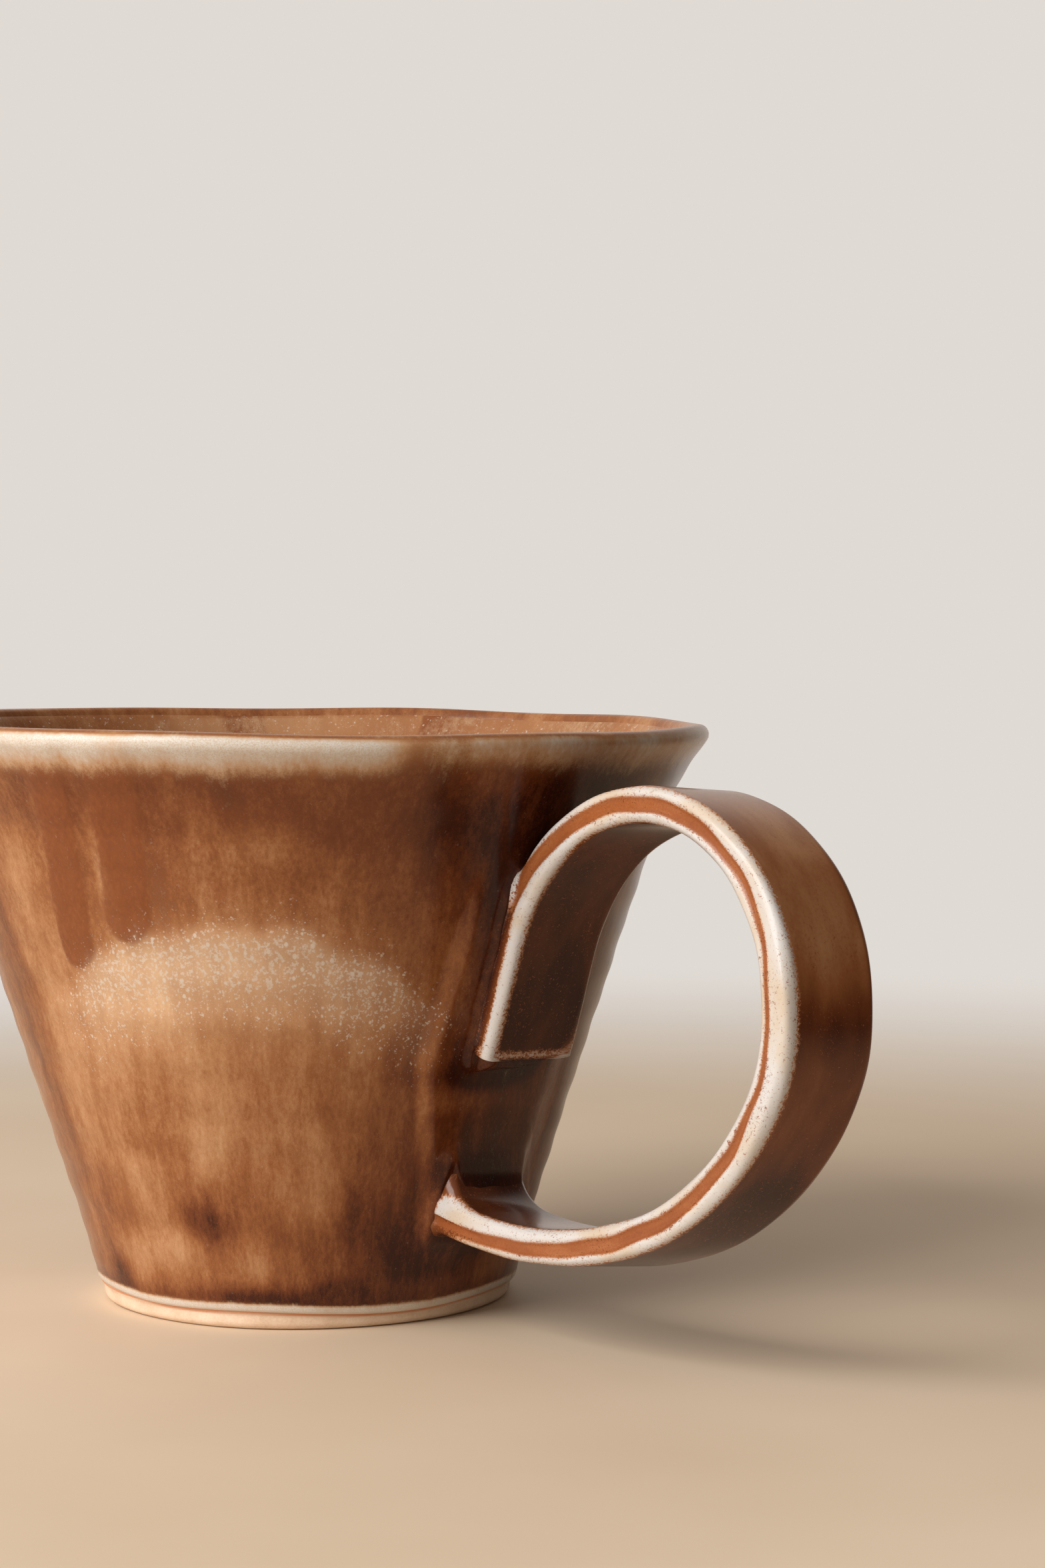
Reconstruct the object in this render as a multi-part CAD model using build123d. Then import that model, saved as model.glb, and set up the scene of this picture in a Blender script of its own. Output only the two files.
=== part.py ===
from build123d import *
import os
from math import cos, radians, sin, tan

# Handmade ceramic mug: a thrown conical cup with a flared lip, and a ribbon handle whose upper end
# runs down the wall as a tail. Millimetres. The origin is the centre of the foot, +Z is up and the
# handle points along +X. Section outlines are drawn as (distance from the axis, height).

# Cup, measured over its glaze
RIM_RADIUS = 52.0
HEIGHT = 74.0
GLAZE_LINE = 2.4  # height where the outside glaze stops above the bare foot
FOOT_HEADING = 79.0  # steepness of the wall at the glaze line, degrees from level
WALL_HEADING = 71.9
FOOT_CURVE_RADIUS = 90.0
FLARE_RADIUS = 50.0
FLARE_TURN = 18.5
LIP_RADIUS = 1.25  # half the thickness of the rounded lip
WALL_TAPER = 1.6  # degrees by which the wall thickens towards the floor
FLOOR_HEIGHT = 5.6  # top of the glazed floor
FLOOR_CORNER_RADIUS = 12.0
FOOT_BEVEL = 0.7
GLAZE = 0.4  # thickness of the fired glaze

# Handle: a flat strap bent in one plane, then set a little askew, as a hand sets it
STRAP_THICKNESS = 4.0
STRAP_WIDTH = 12.8
STRAP_EDGE_RADIUS = 1.3
TAIL_END = (38.7, 34.3)  # middle of the tail's lower end
TAIL_HEADING = 71.6
TAIL_RUN = 14.5
LOOP_ARCS = ((25.7, 84.0), (22.5, 114.0), (39.0, 37.0), (69.0, 45.0))  # radius and turn
HANDLE_PIVOT = (62.3, 0, 39.5)  # the point that the set of the handle turns about
HANDLE_LEAN = 2.7  # the side at +Y hangs lower by this angle
HANDLE_SWING = 4.2  # the loop swings towards -Y by this angle

# Slip joints: clay smeared between the cup and the strap
JOINT_MARGIN = 1.1  # how far the slip shows beside the strap
TAIL_SLIP = 0.9  # height of the slip round the tail
TAIL_SLIP_TOP = 59.0
TAIL_SLIP_BOTTOM = 31.5
PAD_SLIP = 0.7  # height of the smoothed pad under the tail
PAD_BOTTOM = 8.6
COLLAR_TOP = 25.0  # height where the lower joint's upper curve leaves the wall
COLLAR_WAIST = (3.0, 18.5)  # its middle, as (distance out from the wall, height)
COLLAR_TIP = (42.0, 14.4)  # its end, just inside the strap
COLLAR_UNDER_TIP = (35.5, 11.9)  # the lower curve's end, just inside the strap
COLLAR_UNDER_WAIST = (1.8, 10.3)

UPRIGHT = (Align.CENTER, Align.CENTER, Align.MIN)
OUTWARD = (Align.MIN, Align.CENTER, Align.MIN)


def tangent_chain(start, heading, steps, offset=0.0):
    """Edges of a smooth outline. A step is (length, 0) for a line or (radius, turn) for an arc,
    with left turns positive. A positive offset draws the same outline that far to the left."""
    normal = Vector(-sin(radians(heading)), cos(radians(heading)))
    point = Vector(*start) + normal * offset
    edges = []
    for size, turn in steps:
        tangent = Vector(cos(radians(heading)), sin(radians(heading)))
        if turn == 0:
            edge = Edge.make_line(point, point + tangent * size)
        else:
            radius = size - offset if turn > 0 else size + offset
            edge = JernArc(point, tangent, radius, turn)
        edges.append(edge)
        point = edge @ 1
        heading += turn
    return edges


def closed_section(*runs):
    """An upright face from runs of edges or points, joined in order by straight lines."""
    edges = []
    ends = []
    for run in runs:
        if isinstance(run, tuple):
            ends.append((Vector(*run), Vector(*run)))
        else:
            edges.extend(run)
            ends.append((run[0] @ 0, run[-1] @ 1))
    for (_, leave), (arrive, _) in zip(ends, ends[1:] + ends[:1]):
        if (arrive - leave).length > 1e-6:
            edges.append(Edge.make_line(leave, arrive))
    return Plane.XZ * make_face(edges)


def reversed_run(edges):
    """The same outline, walked the other way."""
    back = []
    for edge in reversed(edges):
        if edge.geom_type == GeomType.LINE:
            back.append(Edge.make_line(edge @ 1, edge @ 0))
        else:
            back.append(ThreePointArc(edge @ 1, edge @ 0.5, edge @ 0))
    return back


def arc_step(radius, heading, turn):
    """How far an arc carries the outline, as (sideways, up)."""
    side = 1 if turn > 0 else -1
    a = radians(heading)
    b = radians(heading + turn)
    return Vector(side * radius * (sin(b) - sin(a)), side * radius * (cos(a) - cos(b)))


# The outer outline, from the glaze line up to the top of the lip
flare_heading = WALL_HEADING - FLARE_TURN
lip_turn = 180 - flare_heading
curves = (
    arc_step(FOOT_CURVE_RADIUS, FOOT_HEADING, WALL_HEADING - FOOT_HEADING)
    + arc_step(FLARE_RADIUS, WALL_HEADING, -FLARE_TURN)
    + arc_step(LIP_RADIUS, flare_heading, lip_turn)
)
wall_run = (HEIGHT - GLAZE_LINE - curves.Y) / sin(radians(WALL_HEADING))
lip_centre = RIM_RADIUS - LIP_RADIUS
glaze_start = (lip_centre - curves.X - wall_run * cos(radians(WALL_HEADING)), GLAZE_LINE)
outer_steps = [
    (FOOT_CURVE_RADIUS, WALL_HEADING - FOOT_HEADING),
    (wall_run, 0),
    (FLARE_RADIUS, -FLARE_TURN),
    (LIP_RADIUS, lip_turn),
]

# The inner outline, from the top of the lip down to the middle of the floor
inner_lip_turn = flare_heading
inner_flare_turn = FLARE_TURN - WALL_TAPER
inner_heading = 180 + inner_lip_turn + inner_flare_turn
corner_turn = 180 - inner_heading
inner_flare_radius = FLARE_RADIUS + 2 * LIP_RADIUS
inner_curves = (
    arc_step(LIP_RADIUS, 180, inner_lip_turn)
    + arc_step(inner_flare_radius, 180 + inner_lip_turn, inner_flare_turn)
    + arc_step(FLOOR_CORNER_RADIUS, inner_heading, corner_turn)
)
inner_run = (FLOOR_HEIGHT - HEIGHT - inner_curves.Y) / sin(radians(inner_heading))
floor_run = lip_centre + inner_curves.X + inner_run * cos(radians(inner_heading))
inner_steps = [
    (LIP_RADIUS, inner_lip_turn),
    (inner_flare_radius, inner_flare_turn),
    (inner_run, 0),
    (FLOOR_CORNER_RADIUS, corner_turn),
    (floor_run, 0),
]


def outer_outline(depth):
    return tangent_chain(glaze_start, FOOT_HEADING, outer_steps, depth)


def inner_outline(depth):
    return tangent_chain((lip_centre, HEIGHT), 180, inner_steps, depth)


foot_radius = glaze_start[0] - GLAZE - GLAZE_LINE * cos(radians(FOOT_HEADING))


def core(grow):
    """The cup without its hollow, up to the lip, at grow outside the clay."""
    outline = outer_outline(GLAZE - grow)
    top = HEIGHT - GLAZE + grow
    return revolve(closed_section((0, 0), (foot_radius + grow, 0), outline, (0, top)))


def cup_body():
    section = closed_section(
        (0, 0),
        (foot_radius - FOOT_BEVEL, 0),
        (foot_radius, FOOT_BEVEL),
        outer_outline(GLAZE) + inner_outline(GLAZE),
    )
    return revolve(section)


def interior_glaze():
    return revolve(closed_section(inner_outline(0), reversed_run(inner_outline(GLAZE))))


def set_askew(solid):
    """Turns the handle from its own upright plane to the way it is set on the cup."""
    turn = Pos(*HANDLE_PIVOT) * Rot(Z=-HANDLE_SWING) * Rot(X=-HANDLE_LEAN)
    return turn * Pos(*(-c for c in HANDLE_PIVOT)) * solid


def strap(grow):
    """The whole bent strap, its lower end running on into the cup's wall."""
    half = STRAP_THICKNESS / 2 + grow
    steps = [(TAIL_RUN + grow, 0)] + [(radius, -turn) for radius, turn in LOOP_ARCS]
    along = Vector(cos(radians(TAIL_HEADING)), sin(radians(TAIL_HEADING)))
    start = Vector(*TAIL_END) - along * grow
    outside = tangent_chain(start, TAIL_HEADING, steps, half)
    inside = tangent_chain(start, TAIL_HEADING, steps, -half)
    ribbon = extrude(closed_section(outside, reversed_run(inside)), STRAP_WIDTH / 2 + grow, both=True)
    side_edges = ribbon.faces().filter_by(Axis.Y).edges()
    long_edges = side_edges.filter_by(lambda edge: edge.length > 2 * half + 1)
    return set_askew(fillet(long_edges, STRAP_EDGE_RADIUS + grow))


def slip_block(bottom, top, grow):
    """Everything outward of the axis, between two heights, as wide as the strap and its margin."""
    half = STRAP_WIDTH / 2 + JOINT_MARGIN + grow
    block = Box(RIM_RADIUS, 2 * half, top - bottom + 2 * grow, align=OUTWARD)
    return set_askew(Pos(0, 0, bottom - grow) * block)


def tail_blob(grow):
    return core(TAIL_SLIP + grow) & slip_block(TAIL_SLIP_BOTTOM, TAIL_SLIP_TOP, grow)


def off_wall(distance, height):
    return (wall_radius(height) + distance, height)


def collar_blob(grow):
    """The lower joint's two hollow curves, above and below the strap."""
    raised = Vector(grow, grow)
    lowered = Vector(grow, -grow)
    upper = ThreePointArc(
        Vector(*off_wall(0, COLLAR_TOP)) + raised,
        Vector(*off_wall(*COLLAR_WAIST)) + raised,
        Vector(*COLLAR_TIP) + raised,
    )
    lower = ThreePointArc(
        Vector(*COLLAR_UNDER_TIP) + lowered,
        Vector(*off_wall(*COLLAR_UNDER_WAIST)) + lowered,
        Vector(*off_wall(0, PAD_BOTTOM)) + lowered,
    )
    inner = foot_radius / 2
    bottom = PAD_BOTTOM - grow
    section = closed_section([upper], [lower], (inner, bottom), (inner, COLLAR_TOP + grow))
    half = STRAP_WIDTH / 2 + JOINT_MARGIN / 2 + grow
    return set_askew(extrude(section, half, both=True))


def wall_radius(height):
    """Radius of the clay on the straight stretch of the wall."""
    foot_arc = arc_step(FOOT_CURVE_RADIUS, FOOT_HEADING, WALL_HEADING - FOOT_HEADING)
    rise = height - GLAZE_LINE - foot_arc.Y
    return glaze_start[0] - GLAZE + foot_arc.X + rise / tan(radians(WALL_HEADING))


def pad_blob(grow):
    pad = core(PAD_SLIP + grow) & slip_block(PAD_BOTTOM, TAIL_SLIP_BOTTOM, grow)
    return pad + collar_blob(grow)


os.makedirs("parts", exist_ok=True)
clay = core(0)
glazed = core(GLAZE)
bare_strap = strap(0)
upper_slip = tail_blob(0)
lower_slip = pad_blob(0)
coated_joints = tail_blob(GLAZE) + pad_blob(GLAZE)
bare_foot = Cylinder(RIM_RADIUS, GLAZE_LINE, align=UPRIGHT)
mouth = Pos(0, 0, HEIGHT - GLAZE) * Cylinder(lip_centre, GLAZE, align=UPRIGHT)
outside_coat = glazed - bare_foot - mouth + coated_joints

parts = {
    "cup_body": cup_body(),
    "handle_strap": bare_strap - clay,
    "upper_joint_slip": upper_slip - clay - bare_strap,
    "lower_joint_slip": lower_slip - clay - bare_strap - upper_slip,
    "interior_glaze": interior_glaze(),
    "exterior_glaze": outside_coat - clay - bare_strap - upper_slip - lower_slip,
    "handle_glaze": strap(GLAZE) - bare_strap - glazed - coated_joints - lower_slip,
}
for name, part in parts.items():
    solids = part.solids()
    print(name, len(solids), [round(s.volume, 2) for s in solids])
    export_step(part, f"parts/{name}.step")
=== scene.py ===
from math import cos, hypot, pi, radians, sin

import bpy
import numpy as np
from mathutils import Matrix, Vector


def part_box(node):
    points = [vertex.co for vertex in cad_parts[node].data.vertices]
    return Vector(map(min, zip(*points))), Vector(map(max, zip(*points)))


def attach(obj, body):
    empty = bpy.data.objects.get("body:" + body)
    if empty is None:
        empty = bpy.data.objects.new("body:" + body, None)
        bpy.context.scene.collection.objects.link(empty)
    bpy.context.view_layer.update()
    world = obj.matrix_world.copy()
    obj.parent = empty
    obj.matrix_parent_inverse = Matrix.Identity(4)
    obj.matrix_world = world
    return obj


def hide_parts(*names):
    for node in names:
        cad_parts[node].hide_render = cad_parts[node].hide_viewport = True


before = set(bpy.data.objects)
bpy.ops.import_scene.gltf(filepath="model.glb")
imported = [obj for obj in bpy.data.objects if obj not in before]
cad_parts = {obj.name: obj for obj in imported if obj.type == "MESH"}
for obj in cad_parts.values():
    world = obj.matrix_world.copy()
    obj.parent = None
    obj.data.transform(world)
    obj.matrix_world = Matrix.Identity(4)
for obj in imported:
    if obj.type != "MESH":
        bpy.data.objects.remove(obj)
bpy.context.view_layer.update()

# Handmade glazed mug. Lengths are in millimetres and angles in degrees until the last step of each
# mesh, in the frame of the CAD parts: the cup's axis is Z, its foot is at 0, the handle is at +X.
MM = 0.001

# ---- the cup's and the strap's sizes
cup_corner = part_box("exterior_glaze")[1]
HEIGHT = cup_corner.z / MM
RIM_RADIUS = cup_corner.y / MM
GLAZE_LINE = 2.4  # height where the outside glaze stops above the bare foot
FOOT_HEADING = 79  # steepness of the wall at the glaze line, degrees from level
WALL_HEADING = 71.9
FOOT_CURVE_RADIUS = 90
FLARE_RADIUS = 50
FLARE_TURN = 18.5
LIP_RADIUS = 1.25  # half the thickness of the rounded lip
WALL_TAPER = 1.6  # degrees by which the wall thickens towards the floor
FLOOR_HEIGHT = 5.6
FLOOR_CORNER_RADIUS = 12
GLAZE = 0.4
WALL_SPACING = 0.42  # between rings of vertices
LINER_SPACING = 0.6
STRAP_SPACING = 0.45

TAIL_END = (38.7, 34.3)  # middle of the tail's lower end
TAIL_HEADING = 71.6
# each stretch of the strap from there, as (length, 0) or (radius, turn)
STRAP_STEPS = ((14.5, 0), (25.7, 84), (22.5, 114), (39, 37), (69, 45))
STRAP_HALF_WIDTH = 6.8
STRAP_EDGE = 1.15
HANDLE_PIVOT = np.array((62.3, 0, 39.5))  # the point that the set of the handle turns about
HANDLE_LEAN = 2.7  # the side at +Y hangs lower by this angle
HANDLE_SWING = 4.2  # the loop swings towards -Y by this angle

# What a potter's hand adds to the plain outline
RIM_DIP = 0.75  # how far the rim sags at its lowest
RIM_DIP_ANGLE = 52
RIM_WAVE = 0.14
RING_PITCH = 5.2  # throwing rings
RING_RELIEF = 0.05
FLOOR_SPIRAL_PITCH = 4.6
# The pad of slip on the wall, by height: its half width, and how far its middle stands to the side
PAD_RELIEF = 0.75
PAD_HALF_WIDTH = ((9, 6.8), (17, 7.8), (34, 11.2), (44, 9.6), (60, 7.6))
PAD_MIDDLE = ((9, 1.6), (60, -0.9))
JOINT_MIDDLE = 1.8  # how far the lower joint stands to the side of the cup's X axis
JOINT_FROM = 100  # the strap is filled out to the wall only beyond this distance from the tail's end
JOINT_FILL_UNDER = 3.4  # how widely the fill is rounded, under the strap and over it
JOINT_FILL_OVER = 7.8

# How the strap changes along its length, as (distance from the tail's end, value)
HALF_THICKNESS = ((0, 2.25), (14, 2.2), (46, 2.15), (82, 2.4), (120, 2.2), (142, 2.1), (160, 2.25))
TWIST = ((14, 0), (46, -2.2), (82, 0), (142, 4.2), (176, 4.2))
CHANNEL_CENTRE = ((0, 1.6), (22, 0.9), (34, 0.05), (50, 0), (66, -0.2), (80, -0.85), (92, -0.6),
                  (108, -0.1), (126, 0.1), (142, 0.5), (158, 0.8))
CHANNEL_HALF = ((0, 1), (22, 0.95), (34, 0.8), (50, 0.8), (64, 0.55), (78, 0.2), (90, 0.28),
                (104, 0.7), (126, 0.85), (142, 0.7), (156, 0.5), (164, 0.25))
CHANNEL_DEPTH = 0.28
TAIL_FAR_CORNER = 4.5  # how round the tail's end is, seen square on
TAIL_NEAR_CORNER = 1.2


# ---- small mathematics
def smooth(low, high, value):
    """0 below low, 1 above high, and an even curve between."""
    t = np.clip((value - low) / (high - low), 0, 1)
    return t * t * (3 - 2 * t)


def bell(value, centre, width):
    return np.exp(-(((value - centre) / width) ** 2))


def blend_min(a, b, reach):
    """The smaller of two distances, rounded over where they are within reach of each other."""
    closeness = np.maximum(reach - np.abs(a - b), 0) / reach
    return np.minimum(a, b) - closeness**2 * reach / 4


def along_keys(keys, distance):
    """A value that eases from key to key."""
    places = [key[0] for key in keys]
    values = [key[1] for key in keys]
    steps = np.interp(distance, places, range(len(places)))
    whole = np.floor(steps)
    eased = whole + smooth(0, 1, steps - whole)
    return np.interp(eased, range(len(values)), values)


def apart(angle, centre):
    """The signed angle from centre, the short way round."""
    return (angle - centre + 180) % 360 - 180


def waves(angle, seed, slowest, fastest):
    """An even, endless ripple round the cup, of about unit height."""
    dice = np.random.default_rng(seed)
    total = 0
    for count in range(slowest, fastest + 1):
        total += dice.normal() * np.sin(np.radians(angle) * count + dice.uniform(0, 2 * pi))
    return total / (fastest - slowest + 1) ** 0.5


def ripple(across, along, seed, size, count=10):
    """Soft unevenness over a surface: waves of about the given size in random directions."""
    dice = np.random.default_rng(seed)
    total = 0
    for _ in range(count):
        turn = dice.uniform(0, 2 * pi)
        stride = 2 * pi / (size * dice.uniform(0.7, 1.6))
        phase = dice.uniform(0, 2 * pi)
        total += np.sin(stride * (across * cos(turn) + along * sin(turn)) + phase)
    return total / count**0.5


# ---- the cup's outline
def direction(heading):
    return np.array((cos(radians(heading)), sin(radians(heading))))


def arc_step(radius, heading, turn):
    """How far an arc carries an outline, as (sideways, up)."""
    side = 1 if turn > 0 else -1
    a = radians(heading)
    b = radians(heading + turn)
    return np.array((side * radius * (sin(b) - sin(a)), side * radius * (cos(a) - cos(b))))


def stretch_step(size, heading, turn, part=1):
    """How far a part of a stretch carries an outline. It is (length, 0) or (radius, turn)."""
    if turn == 0:
        return size * part * direction(heading)
    return arc_step(size, heading, turn * part)


def stretch_length(size, turn):
    return size if turn == 0 else size * abs(radians(turn))


def outline(start, heading, stretches, spacing):
    """Points on a smooth outline, and the headings there."""
    point = np.array(start, float)
    points = []
    headings = []
    for size, turn in stretches:
        length = stretch_length(size, turn)
        count = max(2, round(length / min(spacing, length / 6)))
        for k in range(count):
            points.append(point + stretch_step(size, heading, turn, k / count))
            headings.append(heading + turn * k / count)
        point = point + stretch_step(size, heading, turn)
        heading += turn
    points.append(point)
    headings.append(heading)
    return np.array(points), np.array(headings)


def journey(heading, stretches):
    """Where stretches lead to from their start, as (sideways, up)."""
    total = 0
    for size, turn in stretches:
        total += stretch_step(size, heading, turn)
        heading += turn
    return total


def outer_stretches(run):
    """Up the outside from the glaze line to the top of the lip. run is the straight wall's length."""
    return [(FOOT_CURVE_RADIUS, WALL_HEADING - FOOT_HEADING), (run, 0), (FLARE_RADIUS, -FLARE_TURN),
            (LIP_RADIUS, 180 - flare_heading)]


def inner_stretches(run, floor_run):
    """Down the inside from the top of the lip to the middle of the floor."""
    return [(LIP_RADIUS, flare_heading), (FLARE_RADIUS + 2 * LIP_RADIUS, FLARE_TURN - WALL_TAPER),
            (run, 0), (FLOOR_CORNER_RADIUS, 180 - inner_heading), (floor_run, 0)]


flare_heading = WALL_HEADING - FLARE_TURN
inner_heading = 180 + WALL_HEADING - WALL_TAPER
lip_centre = RIM_RADIUS - LIP_RADIUS
rise = journey(FOOT_HEADING, outer_stretches(0))
wall_run = (HEIGHT - GLAZE_LINE - rise[1]) / sin(radians(WALL_HEADING))
glaze_start = (lip_centre - rise[0] - wall_run * cos(radians(WALL_HEADING)), GLAZE_LINE)
foot_radius = glaze_start[0] - GLAZE - GLAZE_LINE * cos(radians(FOOT_HEADING))
inner_rise = journey(180, inner_stretches(0, 0))
inner_run = (FLOOR_HEIGHT - HEIGHT - inner_rise[1]) / sin(radians(inner_heading))
floor_run = lip_centre + inner_rise[0] + inner_run * cos(radians(inner_heading))
outer_steps = outer_stretches(wall_run)
inner_steps = inner_stretches(inner_run, floor_run)
outer_points, outer_headings = outline(glaze_start, FOOT_HEADING, outer_steps, WALL_SPACING)
inner_points, inner_headings = outline((lip_centre, HEIGHT), 180, inner_steps, LINER_SPACING)
below_lip = outer_points[:, 1] < HEIGHT - 2 * LIP_RADIUS
wall_heights = outer_points[below_lip, 1]
wall_radii = outer_points[below_lip, 0]


def lengths_along(points):
    return np.append(0, np.cumsum(np.hypot(*np.diff(points, axis=0).T)))


def airward(headings):
    """Unit vectors out of the clay, for an outline walked with the clay on its left."""
    turns = np.radians(headings)
    return np.stack([np.sin(turns), -np.cos(turns)], -1)


def wall_radius(height):
    return np.interp(height, wall_heights, wall_radii)


# ---- the strap's own frame
HANDLE_TURN = np.array(Matrix.Rotation(radians(-HANDLE_SWING), 3, "Z")
                       @ Matrix.Rotation(radians(-HANDLE_LEAN), 3, "X"))


def turned(points, inverse=False):
    """From the strap's upright plane to the way it is set on the cup, or back."""
    return (points - HANDLE_PIVOT) @ (HANDLE_TURN if inverse else HANDLE_TURN.T) + HANDLE_PIVOT


def strap_pieces():
    """Each straight or curved stretch, as (start, heading, size, turn, distance at its start)."""
    point = np.array(TAIL_END)
    heading = TAIL_HEADING
    distance = 0
    for size, turn in STRAP_STEPS:
        yield point, heading, size, turn, distance
        point = point + stretch_step(size, heading, -turn)
        distance += stretch_length(size, turn)
        heading -= turn


def strap_line(distance):
    """Middle of the strap and the heading there, at distances from the tail's end."""
    middle = np.zeros((len(distance), 2))
    headings = np.zeros(len(distance))
    for start, heading, size, turn, before in strap_pieces():
        here = distance >= before
        if turn == 0:
            middle[here] = start + np.outer(distance[here], direction(heading))
            headings[here] = heading
        else:
            now = heading - np.degrees((distance[here] - before) / size)
            hub = start + size * np.array((sin(radians(heading)), -cos(radians(heading))))
            spoke = np.stack([-np.sin(np.radians(now)), np.cos(np.radians(now))], -1)
            middle[here] = hub + size * spoke
            headings[here] = now
    return middle, headings


def strap_place(points):
    """Where points are in the strap: distance along it, out of the loop, across, past its end."""
    own = turned(points, inverse=True)
    flat = own[:, (0, 2)]
    best = np.outer((1e9, 0, 0, 0), np.ones(len(flat)))
    for start, heading, size, turn, before in strap_pieces():
        a = radians(heading)
        if turn == 0:
            offset = flat - start
            run = offset @ direction(heading)
            past = np.maximum(-run, 0)
            off_line = offset @ np.array((-sin(a), cos(a)))
            distance = before + np.clip(run, 0, size)
            gap = np.hypot(np.maximum(run - size, 0) + past, off_line)
        else:
            hub = start + size * np.array((sin(a), -cos(a)))
            spoke = flat - hub
            now = (a + pi / 2 - np.arctan2(spoke[:, 1], spoke[:, 0])) % (2 * pi)
            limit = radians(turn)
            now = np.where(now > pi + limit / 2, 0, np.minimum(now, limit))
            off_line = np.hypot(spoke[:, 0], spoke[:, 1]) - size
            foot = hub + size * np.stack([np.cos(a + pi / 2 - now), np.sin(a + pi / 2 - now)], -1)
            past = 0 * now
            distance = before + size * now
            gap = np.hypot(*(flat - foot).T)
        best = np.where(gap < best[0], (gap, distance, off_line, past), best)
    return best[1], best[2], own[:, 1], best[3]


def untwisted(along, outward, across):
    """Place in the section, once the strap's slow twist about its near edge is taken off."""
    twist = np.radians(along_keys(TWIST, along))
    shifted = outward - STRAP_HALF_WIDTH * np.sin(twist)
    u = shifted * np.cos(twist) - across * np.sin(twist)
    v = shifted * np.sin(twist) + across * np.cos(twist)
    return u, v


# ---- where cup and strap are joined
def pad_height(y, z):
    """The smoothed pad of slip on the wall, from under the tail down to the lower joint."""
    half = np.interp(z, *zip(*PAD_HALF_WIDTH))
    middle = np.interp(z, *zip(*PAD_MIDDLE))
    softness = np.where(y > middle, 2.6, 1)
    side = smooth(1.5 * softness, -1.2 * softness, np.abs(y - middle) - half)
    ends = smooth(6.5, 11.5, z) * smooth(60, 47, z)
    return PAD_RELIEF * side * ends


def cup_distance(points):
    x, y, z = points.T
    slope = sin(radians(WALL_HEADING))
    return (np.hypot(x, y) - wall_radius(z)) * slope - pad_height(y, z)


def strap_distance(points, filled=True):
    """Signed distance to the strap, with the clay that fills its lower joint unless filled is off."""
    along, outward, across, beyond = strap_place(points)
    u, v = untwisted(along, outward, across)
    side = np.abs(u) - along_keys(HALF_THICKNESS, along)
    flat = np.hypot(np.maximum(side, 0), beyond) + np.minimum(side, 0)
    if filled:
        over = smooth(-1, 1, -u)
        out_of_reach = 40 * (along < JOINT_FROM)
        to_wall = np.maximum(cup_distance(points), 0) + out_of_reach
        to_wall += 2.4 * smooth(1.5 + 3 * over, 4.5 + 4.5 * over, flat)
        flat = blend_min(flat, to_wall, JOINT_FILL_UNDER + (JOINT_FILL_OVER - JOINT_FILL_UNDER) * over)
    q_flat = flat + STRAP_EDGE
    q_wide = np.abs(v) - STRAP_HALF_WIDTH + STRAP_EDGE
    corner = np.hypot(np.maximum(q_flat, 0), np.maximum(q_wide, 0))
    return corner + np.minimum(np.maximum(q_flat, q_wide), 0) - STRAP_EDGE


def seam_reach(points):
    """How wide the slip is smoothed at the seam: tight round the tail, soft at the lower joint."""
    return 2.4 - 0.6 * smooth(24, 33, points[:, 2])


SEAM_MIDDLE = 0.32  # each skin follows the seam to just past its middle, as a part of its reach


def way_out(distance_at, travel, before):
    """How far points move until distance_at isn't negative, and which of them get that far."""
    lifted = np.zeros(len(before))
    settled = np.zeros(len(before), bool)
    last = 0
    for reach in travel:
        value = distance_at(reach)
        crossed = (value >= 0) & ~settled
        part = np.clip(-before / np.where(value > before, value - before, 1), 0, 1)
        lifted = np.where(crossed, last + (reach - last) * part, lifted)
        settled |= crossed
        before = value
        last = reach
    return lifted, settled


def swell(points, normals, other, furthest, spare=0):
    """How far a skin moves out along its normals to follow its smoothed join with the other body."""
    def distance_at(reach):
        here = points + normals * reach
        return blend_min(np.full(len(points), reach), other(here), seam_reach(here))

    travel = furthest * (np.linspace(0, 1, 40) ** 1.5)
    lifted, settled = way_out(distance_at, travel, np.zeros(len(points)))
    highest = SEAM_MIDDLE * seam_reach(points) + spare
    return blend_min(np.where(settled, lifted, highest), highest, 0.1)


def swell_to_collar(points, normals, furthest=5):
    """How far the strap's skin moves out to the curved clay of the lower joint."""
    def distance_at(reach):
        return strap_distance(points + normals * reach)

    travel = np.linspace(0, furthest, 36)
    lifted, settled = way_out(distance_at, travel[1:], distance_at(0))
    return np.where(settled, lifted, furthest)


# ---- mesh building
def add_object(name, data):
    thing = bpy.data.objects.new(name, data)
    bpy.context.scene.collection.objects.link(thing)
    return thing


def new_piece(name, points, faces, material, slot, replaced, **layers):
    """A smooth mesh piece in metres, with a float or vector layer per named array."""
    mesh = bpy.data.meshes.new(name)
    mesh.vertices.add(len(points))
    mesh.vertices.foreach_set("co", (points * MM).ravel())
    sizes = np.array([len(face) for face in faces])
    mesh.loops.add(int(sizes.sum()))
    mesh.loops.foreach_set("vertex_index", np.concatenate(faces))
    mesh.polygons.add(len(faces))
    mesh.polygons.foreach_set("loop_start", np.concatenate([[0], np.cumsum(sizes)[:-1]]))
    mesh.polygons.foreach_set("loop_total", sizes)
    mesh.polygons.foreach_set("use_smooth", np.ones(len(faces), bool))
    for layer, values in layers.items():
        kind, field = ("FLOAT_VECTOR", "vector") if values.size > len(points) else ("FLOAT", "value")
        mesh.attributes.new(layer, kind, "POINT").data.foreach_set(field, values.ravel())
    mesh.update(calc_edges=True)
    mesh.validate()
    mesh.materials.append(material)
    piece = add_object(name, mesh)
    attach(piece, "root")
    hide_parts(*replaced)


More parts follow.
